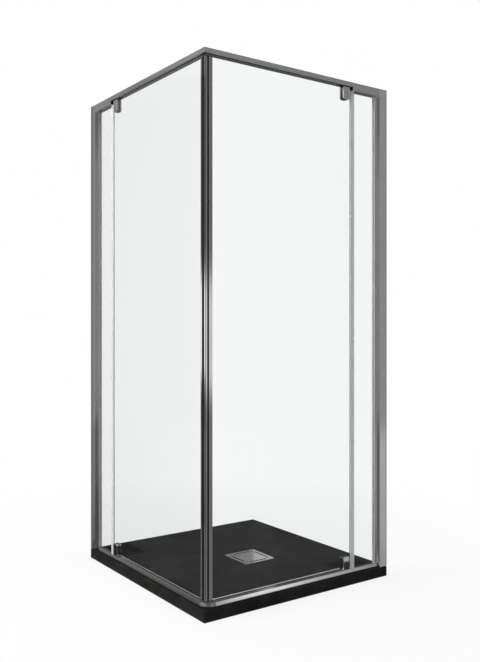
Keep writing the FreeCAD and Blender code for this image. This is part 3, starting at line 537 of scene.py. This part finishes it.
# The seat of the drain cover, with the round hole for the waste down to the underside
seat_columns = seat_lines(lines_x, seat_low[0], seat_high[0])
seat_rows = seat_lines(lines_y, seat_low[1], seat_high[1])
seat_top = []
for walk in sides_in_order(seat_columns, seat_rows):
    seat_top += [top_points[key] for key in walk[:-1]]
seat_foot = [tray_form.verts.new((point.co.x, point.co.y, seat_level)) for point in seat_top]
hole_top = []
hole_foot = []
for step in range(HOLE_STEPS):
    angle = math.tau * step / HOLE_STEPS
    x = drain_x + WASTE_HOLE * math.cos(angle)
    y = drain_y + WASTE_HOLE * math.sin(angle)
    hole_top.append(tray_form.verts.new((x, y, seat_level)))
    hole_foot.append(tray_form.verts.new((x, y, tray_low.z)))
bridge(tray_form, seat_top, seat_foot)
bridge(tray_form, hole_top, hole_foot)
for outline in ((seat_foot, hole_top), (rings[-1], hole_foot)):
    edges = []
    for loop in outline:
        edges += [tray_form.edges.get(ends) for ends in zip(loop, loop[1:] + loop[:1])]
    bmesh.ops.triangle_fill(tray_form, use_beauty=True, edges=edges)
for face in tray_form.faces:
    face.smooth = True
slate = cast_finish("slate_resin", gloss=0.03, depth=0.0004, deep=(0.006, 0.0058, 0.0055),
                    pale=(0.026, 0.0253, 0.0240), cloud=7.0, grain=260.0, smooth=0.45, rough=0.65)
shown_piece("slate_tray", tray_form, slate, "enclosure_frame", "tray")

# Drain: a moulded flanged waste in the tray's hole, under a square stainless cover with thin slots along
# its edges. The cover is cut and brushed from sheet and lies flush in the tray, held by four screws.
SEAM_REACH = 0.00001
FLAT_TURN = math.radians(0.4)
CORNER_TURN = math.radians(40.0)
CORNER_STEPS = 2


def dress(finish, *names, broken=0.0):
    """Give CAD nodes a finish and, with a width, edges broken as drawing or moulding leaves them."""
    for name in names:
        for slot in nodes[name].material_slots:
            slot.material = finish
        if not broken:
            continue
        modifiers = nodes[name].modifiers
        weld = modifiers.new("closed_seams", "WELD")
        weld.merge_threshold = SEAM_REACH
        flat = modifiers.new("whole_faces", "DECIMATE")
        flat.decimate_type = "DISSOLVE"
        flat.angle_limit = FLAT_TURN
        round_over = modifiers.new("broken_edges", "BEVEL")
        round_over.width = broken
        round_over.segments = CORNER_STEPS
        round_over.limit_method = "ANGLE"
        round_over.angle_limit = CORNER_TURN
        shading = modifiers.new("even_shading", "WEIGHTED_NORMAL")
        shading.keep_sharp = False


waste_plastic = cast_finish("waste_plastic", gloss=0.4, depth=0.0001, deep=(0.03, 0.03, 0.032),
                            pale=(0.055, 0.055, 0.058), cloud=30.0, grain=900.0, smooth=0.32, rough=0.45)
dress(waste_plastic, "waste_flange")

# Lines left along a metal surface by drawing or brushing, with faint wiped patches
LINES_SHARE = 0.65
WIPED_SHARE = 0.35
drawn_lines, given, result = shade_group(
    "drawn_lines",
    {"Deep": COLOUR, "Pale": COLOUR, "Stretch": VECTOR, "Smooth": FLOAT, "Rough": FLOAT},
    {"Colour": COLOUR, "Roughness": FLOAT, "Height": FLOAT})
spot = add_node(drawn_lines, "ShaderNodeTexCoord").outputs["Object"]
stretched = add_node(drawn_lines, "ShaderNodeVectorMath", operation="MULTIPLY")
feed(drawn_lines, stretched.inputs, {0: spot, 1: given["Stretch"]})
lines = noise_at(drawn_lines, stretched.outputs["Vector"], scale=1.0, detail=3.0)
wiped = noise_at(drawn_lines, spot, scale=9.0, detail=4.0)
tone = compute(drawn_lines, "ADD", compute(drawn_lines, "MULTIPLY", lines, LINES_SHARE),
               compute(drawn_lines, "MULTIPLY", wiped, WIPED_SHARE))
spread = remap(drawn_lines, tone, NOISE_LOW, NOISE_HIGH)
feed(drawn_lines, result, {
    "Colour": mix_colours(drawn_lines, spread, given["Deep"], given["Pale"]),
    "Roughness": remap(drawn_lines, spread, 0.0, 1.0, given["Rough"], given["Smooth"]),
    "Height": lines,
})
METAL_RELIEF = 0.4


def metal_finish(name, depth, deep, pale, stretch, smooth, rough):
    """Bare or plated metal with the drawn lines; an even stretch makes them a plain grain."""
    finish, tree, shader, pattern = new_finish(name, drawn_lines, {
        "Deep": deep, "Pale": pale, "Stretch": stretch, "Smooth": smooth, "Rough": rough})
    feed(tree, shader.inputs, {"Metallic": 1.0})
    add_relief(tree, shader, pattern.outputs["Height"], METAL_RELIEF, depth)
    return finish


brushed_steel = metal_finish("brushed_stainless", depth=0.00001, deep=(0.52, 0.53, 0.51),
                             pale=(0.68, 0.68, 0.66), stretch=(6.0, 1400.0, 1400.0),
                             smooth=0.10, rough=0.20)
dress(brushed_steel, "drain_cover", broken=0.0003)

CORNER_DIGITS = 5
ORDER_DIGITS = 4


def loose_boxes(name):
    """Lowest and highest corner of each loose solid of a CAD node, from left to right, front to back."""
    mesh = nodes[name].data
    # Points at one place are one corner, because the frame splits its points along sharp edges
    corner = [tuple(round(value, CORNER_DIGITS) for value in point.co) for point in mesh.vertices]
    leader = {key: key for key in corner}

    def lead(key):
        """The corner that stands for all that are joined to this one."""
        while leader[key] != key:
            leader[key] = leader[leader[key]]
            key = leader[key]
        return key

    for edge in mesh.edges:
        leader[lead(corner[edge.vertices[0]])] = lead(corner[edge.vertices[1]])
    groups = {}
    for key in leader:
        groups.setdefault(lead(key), []).append(Vector(key))
    boxes = []
    for points in groups.values():
        low = Vector([min(point[axis] for point in points) for axis in range(3)])
        high = Vector([max(point[axis] for point in points) for axis in range(3)])
        boxes.append((low, high))
    return sorted(boxes, key=lambda box: tuple(round(value, ORDER_DIGITS) for value in box[0]))


CROSS_ARM = 0.26
LEAST_ARM = 0.001
DRIVE_TAPER = 0.86
SCREW_STEPS = 48
SCREW_ANGLES = [math.tau * step / SCREW_STEPS for step in range(SCREW_STEPS)]


def cross_drive(reach, angle):
    """Outline of a cross recess: four arms of a given reach."""
    arm = abs((angle + math.pi / 4) % (math.pi / 2) - math.pi / 4)
    return min(reach, CROSS_ARM * reach / max(LEAST_ARM, math.sin(arm)))


def hex_drive(reach, angle):
    """Outline of a six-sided socket."""
    side = (angle + math.pi / 6) % (math.pi / 3) - math.pi / 6
    return reach * math.cos(math.pi / 6) / math.cos(side)


def turn_screw(form, top, outward, rings):
    """One turned screw from the middle of its head's top: rings of radii, each at its depth."""
    turn = Vector((0.0, 0.0, 1.0)).rotation_difference(outward)
    loops = []
    for radii, depth in rings:
        loop = []
        for radius, angle in zip(radii, SCREW_ANGLES):
            point = Vector((radius * math.cos(angle), radius * math.sin(angle), -depth))
            loop.append(form.verts.new(top + turn @ point))
        loops.append(loop)
    for upper, lower in zip(loops, loops[1:]):
        for face in bridge(form, upper, lower):
            face.smooth = True
    form.faces.new(loops[0])
    form.faces.new(loops[-1])


def screw_set(piece, node, finish, body, axis, brim, head, shank, drive, reach, sink, head_end="high"):
    """Screws in place of a node's solids: a recess, then the brim of the head, the head and the shank.

    Each lies along an axis, or along its longer level side where there is none, with its head at one end.
    The brim's points are insets from the head's radius, with their depths.
    """
    form = bmesh.new()
    recess = [drive(reach, angle) for angle in SCREW_ANGLES]
    for low, high in loose_boxes(node):
        size = high - low
        along = axis
        if along is None:
            along = 0 if size.x > size.y else 1
        radius = size[1 if along == 0 else 0] / 2
        top = (low + high) / 2
        top[along] = high[along] if head_end == "high" else low[along]
        outward = Vector((0.0, 0.0, 0.0))
        outward[along] = 1.0 if head_end == "high" else -1.0
        profile = [(radius - inset, depth) for inset, depth in brim]
        profile += [(radius, head), (shank, head), (shank, size[along])]
        rings = [([DRIVE_TAPER * reached for reached in recess], sink), (recess, 0.0)]
        rings += [([ring] * SCREW_STEPS, depth) for ring, depth in profile]
        turn_screw(form, top, outward, rings)
    shown_piece(piece, form, finish, body, node)


UPRIGHT = 2
dark_steel = metal_finish("burnished_steel", depth=0.00001, deep=(0.05, 0.05, 0.05),
                          pale=(0.10, 0.10, 0.098), stretch=(300.0, 300.0, 300.0), smooth=0.26, rough=0.42)
screw_set("drain_screws", "cover_screws", dark_steel, "enclosure_frame", UPRIGHT,
          brim=[(0.0003, 0.0), (0.0, 0.0003)], head=0.0014, shank=0.002,
          drive=cross_drive, reach=0.0022, sink=0.001)

# Threshold: a low hollow aluminium strip along each side, polished bright and stuck to the tray with black
# foam tape. A duller moulded quarter round joins the two strips at the outer corner; its metal is darkened
# as painted shade.
foam = cast_finish("foam_tape", gloss=0.1, depth=0.0003, deep=(0.008, 0.008, 0.008),
                   pale=(0.022, 0.022, 0.022), cloud=40.0, grain=1500.0, smooth=0.75, rough=0.95)
dress(foam, "threshold_tape")
LINES_APART = 700.0
LINES_ALONG = 1.2


def drawn_along(run):
    """Stretch of the drawn lines of a profile that runs along X, Y or Z."""
    return [LINES_ALONG if direction == run else LINES_APART for direction in range(3)]


# The front runs along X and the side along Y
SIDES = {"front": 0, "side": 1}
bright = []
for run, letter in enumerate("xyz"):
    bright.append(metal_finish(
        f"bright_aluminium_{letter}", depth=0.000006, deep=(0.74, 0.74, 0.735), pale=(0.86, 0.86, 0.855),
        stretch=drawn_along(run), smooth=0.09, rough=0.17))
for side, run in SIDES.items():
    dress(bright[run], f"threshold_{side}", broken=0.0004)
# The corner's colour is painted shade: far darker than the strips' metal, which dims what it mirrors
moulded_painted_shade = metal_finish("moulded_painted_shade", depth=0.000002, deep=(0.34, 0.34, 0.335),
                              pale=(0.41, 0.41, 0.40), stretch=(60.0, 60.0, 60.0), smooth=0.36, rough=0.46)
dress(moulded_painted_shade, "threshold_corner", broken=0.0004)

# Wall profiles: lipped aluminium channels, polished bright and screwed upright to the walls. The adjusting
# profiles slide in their mouths and are held by three screws each once the panels stand plumb.
for side in SIDES:
    dress(bright[UPRIGHT], f"wall_profile_{side}", f"adjust_profile_{side}", broken=0.0004)
screw_steel = metal_finish("screw_stainless", depth=0.00001, deep=(0.36, 0.36, 0.35),
                           pale=(0.52, 0.52, 0.51), stretch=(300.0, 300.0, 300.0), smooth=0.2, rough=0.34)
PAN_SCREW = {"brim": [(0.0005, 0.0), (0.0, 0.0006)], "head": 0.0016, "shank": 0.002,
             "drive": cross_drive, "reach": 0.0023, "sink": 0.0012}
screw_set("adjusting_screws", "profile_screws", screw_steel, "enclosure_frame", None, **PAN_SCREW)

# Fixed panels: narrow sheets of 6 mm clear toughened glass with ground edges. Each stands in the slot of
# the threshold and in a soft gasket in the adjusting profile, which hides its wall edge.
EDGE_LEAN = 0.5
FILM_LOW = 0.45
FILM_HIGH = 0.75
GROUND_ROUGHNESS = 0.12

# Float glass: nearly clear through its faces, greener at its ground edges, with faint drying marks
glass_body, given, result = shade_group(
    "glass_body",
    {"Face": COLOUR, "Edge": COLOUR, "Across": VECTOR, "Clean": FLOAT, "Marked": FLOAT},
    {"Colour": COLOUR, "Roughness": FLOAT})
coordinates = add_node(glass_body, "ShaderNodeTexCoord")
turned = add_node(glass_body, "ShaderNodeVectorMath", operation="DOT_PRODUCT")
feed(glass_body, turned.inputs, {0: coordinates.outputs["Normal"], 1: given["Across"]})
faced = compute(glass_body, "ABSOLUTE", turned.outputs["Value"])
at_edge = compute(glass_body, "LESS_THAN", faced, EDGE_LEAN)
marks = noise_at(glass_body, coordinates.outputs["Object"], scale=14.0, detail=6.0)
film = remap(glass_body, marks, FILM_LOW, FILM_HIGH, given["Clean"], given["Marked"])
ground = compute(glass_body, "MULTIPLY", at_edge, GROUND_ROUGHNESS)
feed(glass_body, result, {
    "Colour": mix_colours(glass_body, at_edge, given["Face"], given["Edge"]),
    "Roughness": compute(glass_body, "ADD", film, ground),
})


def clear_finish(name, side, face, edge, bending, see_through, clean, marked):
    """Glass or soft plastic of one side, with its own colour at its edges."""
    across = (0.0, 1.0, 0.0) if side == "front" else (1.0, 0.0, 0.0)
    finish, tree, shader, pattern = new_finish(f"{name}_{side}", glass_body, {
        "Face": face, "Edge": edge, "Across": across, "Clean": clean, "Marked": marked})
    feed(tree, shader.inputs, {"IOR": bending, "Transmission Weight": see_through})
    return finish


clear_glass = {}
for side in SIDES:
    clear_glass[side] = clear_finish("clear_glass", side, face=(0.965, 0.98, 0.978),
                                     edge=(0.62, 0.76, 0.72), bending=1.45, see_through=1.0,
                                     clean=0.0, marked=0.02)
    dress(clear_glass[side], f"fixed_glass_{side}")
    nodes[f"fixed_glass_{side}"].visible_shadow = False

# Rails: hollow aluminium rails, polished bright. The shallow header rails run over the doors and meet in a
# mitre at the corner, held by a cast bracket; the deeper fixed rails grip the fixed panels' top edges.
for side, run in SIDES.items():
    dress(bright[run], f"header_rail_{side}", f"fixed_rail_{side}", broken=0.0005)
mill = metal_finish("mill_aluminium", depth=0.00002, deep=(0.42, 0.42, 0.42), pale=(0.55, 0.55, 0.55),
                    stretch=(120.0, 120.0, 120.0), smooth=0.35, rough=0.5)
dress(mill, "corner_joiner", "rail_joiners", broken=0.0005)
screw_set("mitre_screws", "corner_screws", screw_steel, "enclosure_frame", UPRIGHT, **PAN_SCREW,
          head_end="low")


# Gaskets and seals: soft plastic strips pressed on the glass. A milky gasket lines the adjusting profile
# and a milky jamb strip closes the gap at the door's hinge side. The clear drip strip along the door's foot
# has a lip that leans inwards and a bead along its outer face. The bead's colour is a painted highlight,
# pale on the front door and dimmer on the side door.
def strip_form(side, upright, section, start, end, marked=()):
    """A strip of one section from its start to its end; marked steps of the section take a second finish.

    An upright strip's section is given along its side and inwards, and a level one's inwards and upwards.
    """
    form = bmesh.new()
    ends = []
    for place in (start, end):
        ring = []
        for first, second in section:
            along, inward, level = (first, second, place) if upright else (place, first, second)
            point = (along, inward, level) if side == "front" else (inward, along, level)
            ring.append(form.verts.new(point))
        ends.append(ring)
        form.faces.new(ring)
    faces = bridge(form, ends[1], ends[0])
    for step in marked:
        faces[step].material_index = 1
    return form


SEAL_GAP = 0.00005
NOSE_ROUND = 0.0012
NOSE_STEPS = 4
TO_WALL = 1.0
TO_CORNER = -1.0


def pressed_strip(piece, node, side, finish, way):
    """A soft channel over one upright edge of the fixed glass, a hair clear of it, with a rounded back."""
    low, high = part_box(f"{node}_{side}")
    sheet_low, sheet_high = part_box(f"fixed_glass_{side}")
    run = SIDES[side]
    inward = 1 - run
    if way == TO_WALL:
        back, mouth, edge = high[run], low[run], sheet_high[run] + SEAL_GAP
    else:
        back, mouth, edge = low[run], high[run], sheet_low[run] - SEAL_GAP
    outer_face = sheet_low[inward] - SEAL_GAP
    inner_face = sheet_high[inward] + SEAL_GAP
    outer_round = []
    inner_round = []
    for step in range(NOSE_STEPS + 1):
        turn = math.radians(90.0 * step / NOSE_STEPS)
        place = back - way * NOSE_ROUND * (1.0 - math.sin(turn))
        rise = NOSE_ROUND * (1.0 - math.cos(turn))
        outer_round.insert(0, (place, low[inward] + rise))
        inner_round.append((place, high[inward] - rise))
    legs = [(mouth, low[inward]), (mouth, outer_face), (edge, outer_face),
            (edge, inner_face), (mouth, inner_face), (mouth, high[inward])]
    form = strip_form(side, True, outer_round + legs + inner_round, low.z, high.z)
    shown_piece(f"{piece}_{side}", form, finish, "enclosure_frame", f"{node}_{side}")


DRIP_WALL = 0.0014
DRIP_BASE = 0.0034
BEAD_PROUD = 0.0004
BEAD_HALF = 0.0014
BEAD_RISE = 0.0035
BEAD_STEPS = (1, 2)
# The bead's tones are a painted highlight: pale along the front door's foot, dim along the side door's
BEAD_HIGHLIGHT_TONE = {"front": (0.75, 0.75, 0.74), "side": (0.22, 0.22, 0.215)}


def drip_strip(side, finish, bead):
    """A soft channel round the foot of a door's glass, with a lip below and a bead along its outer leg."""
    run = SIDES[side]
    seal_low, seal_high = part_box(f"drip_seal_{side}")
    glass_low, glass_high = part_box(f"door_glass_{side}")
    outer = seal_low[1 - run]
    glass_outer = glass_low[1 - run]
    glass_inner = glass_high[1 - run]
    inner = glass_inner + DRIP_WALL
    lip = seal_high[1 - run]
    foot = glass_low.z
    base = foot - DRIP_BASE
    crown = foot + BEAD_RISE
    head = seal_high.z
    # From the outer leg's head round the bead and the lip to the inner leg, then round the glass
    section = [
        (outer, head), (outer, crown + BEAD_HALF), (outer - BEAD_PROUD, crown), (outer, crown - BEAD_HALF),
        (outer, base), (glass_inner, base), (lip - DRIP_WALL, seal_low.z), (lip, seal_low.z),
        (inner, base), (inner, head), (glass_inner + SEAL_GAP, head),
        (glass_inner + SEAL_GAP, foot - SEAL_GAP), (glass_outer - SEAL_GAP, foot - SEAL_GAP),
        (glass_outer - SEAL_GAP, head),
    ]
    form = strip_form(side, False, section, seal_low[run], seal_high[run], marked=BEAD_STEPS)
    piece = shown_piece(f"drip_strip_{side}", form, finish, f"{side}_door",
                        f"drip_seal_{side}")
    piece.data.materials.append(bead)


for side in SIDES:
    milky = clear_finish("milky_seal", side, face=(0.92, 0.925, 0.93), edge=(0.90, 0.905, 0.91),
                         bending=1.35, see_through=0.5, clean=0.25, marked=0.28)
    see_through = clear_finish("clear_seal", side, face=(0.97, 0.972, 0.972), edge=(0.94, 0.945, 0.945),
                               bending=1.04, see_through=1.0, clean=0.02, marked=0.06)
    # The bead's finish carries its painted highlight, brighter on the front than on the side
    bead = clear_finish("bead_painted_highlight", side, face=BEAD_HIGHLIGHT_TONE[side], edge=BEAD_HIGHLIGHT_TONE[side],
                        bending=1.35, see_through=0.0, clean=0.24, marked=0.36)
    pressed_strip("glazing_channel", "glazing_gasket", side, milky, TO_WALL)
    pressed_strip("jamb_strip", "jamb_seal", side, milky, TO_CORNER)
    drip_strip(side, see_through, bead)

# Pivot bearings: a black moulded bush plate under the header rail and a chromed foot plate with a bush on
# the threshold, screwed down with two small screws. The door's pins turn in them.
moulded = cast_finish("black_plastic", gloss=0.4, depth=0.0001, deep=(0.012, 0.012, 0.012),
                      pale=(0.03, 0.03, 0.03), cloud=40.0, grain=1600.0, smooth=0.38, rough=0.52)
chrome = metal_finish("polished_chrome", depth=0.000002, deep=(0.78, 0.78, 0.78), pale=(0.86, 0.86, 0.86),
                      stretch=(60.0, 60.0, 60.0), smooth=0.04, rough=0.1)
for side in SIDES:
    dress(moulded, f"top_bearing_{side}", broken=0.0003)
    dress(chrome, f"bottom_bearing_{side}", broken=0.0003)
screw_set("foot_screws", "bearing_screws", dark_steel, "enclosure_frame", UPRIGHT,
          brim=[(0.0002, 0.0), (0.0, 0.0002)], head=0.001, shank=0.0016,
          drive=cross_drive, reach=0.0018, sink=0.0008)

# Doors: sheets of 6 mm clear toughened glass with ground edges, notched and drilled for the pivot clamps.
# A full-height bright aluminium profile is pressed on the closing edge; its groove is the finger grip. A
# mitred magnet and two end caps in black plastic close the profile.
edge_bright = metal_finish("bright_door_edge", depth=0.000006, deep=(0.50, 0.50, 0.49),
                           pale=(0.60, 0.60, 0.59), stretch=drawn_along(UPRIGHT), smooth=0.07, rough=0.14)
for side in SIDES:
    dress(clear_glass[side], f"door_glass_{side}")
    nodes[f"door_glass_{side}"].visible_shadow = False
    dress(edge_bright, f"door_edge_{side}", broken=0.0003)
    dress(moulded, f"magnet_strip_{side}", f"edge_caps_{side}")

# Grip liners: black rubber channels pressed into the grooves of the closing profiles over their full
# height. Fine ribs along the floor of each give the fingers hold.
rubber = cast_finish("black_rubber", gloss=0.15, depth=0.0001, deep=(0.006, 0.006, 0.006),
                     pale=(0.014, 0.014, 0.014), cloud=25.0, grain=1200.0, smooth=0.55, rough=0.75)
LINER_WALL = 0.0008
LINER_RISE = 0.0013
LINER_GAP = 0.00005
RIB_HIGH = 0.0004
RIB_HALF = 0.0005
RIB_PITCH = 0.0026
for side, run in SIDES.items():
    strip_low, strip_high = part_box(f"grip_strip_{side}")
    near = strip_low[run] + LINER_GAP
    far = strip_high[run] - LINER_GAP
    out = strip_low[1 - run]
    back = strip_high[1 - run]
    lip = out - LINER_RISE
    section = [(near, back), (near, lip), (near + LINER_WALL, lip), (near + LINER_WALL, out)]
    ribs = max(1, int((far - near - 2 * LINER_WALL) / RIB_PITCH))
    for number in range(ribs):
        rib = near + (far - near) * (number + 1) / (ribs + 1)
        section += [(rib - RIB_HALF, out), (rib, out - RIB_HIGH), (rib + RIB_HALF, out)]
    section += [(far - LINER_WALL, out), (far - LINER_WALL, lip), (far, lip), (far, back)]
    form = strip_form(side, True, section, strip_low.z, strip_high.z)
    shown_piece(f"grip_liner_{side}", form, rubber, f"{side}_door", f"grip_strip_{side}")

# Pivot clamps: a chromed outer and inner plate pinch the glass at the foot and the head of each door, with
# soft pads between. Two socket screws from inside draw them together on the steel pin block.
for side, run in SIDES.items():
    for end in ("top", "bottom"):
        dress(chrome, f"{end}_clamp_outer_{side}", f"{end}_clamp_inner_{side}")
    dress(rubber, f"clamp_pads_{side}")
    dress(screw_steel, f"pivot_pins_{side}")
    screw_set(f"clamp_bolts_{side}", f"clamp_screws_{side}", screw_steel, f"{side}_door", 1 - run,
              brim=[(0.0005, 0.0), (0.0001, 0.0002), (0.0, 0.0006)], head=0.0025, shank=0.0025,
              drive=hex_drive, reach=0.0024, sink=0.0016)
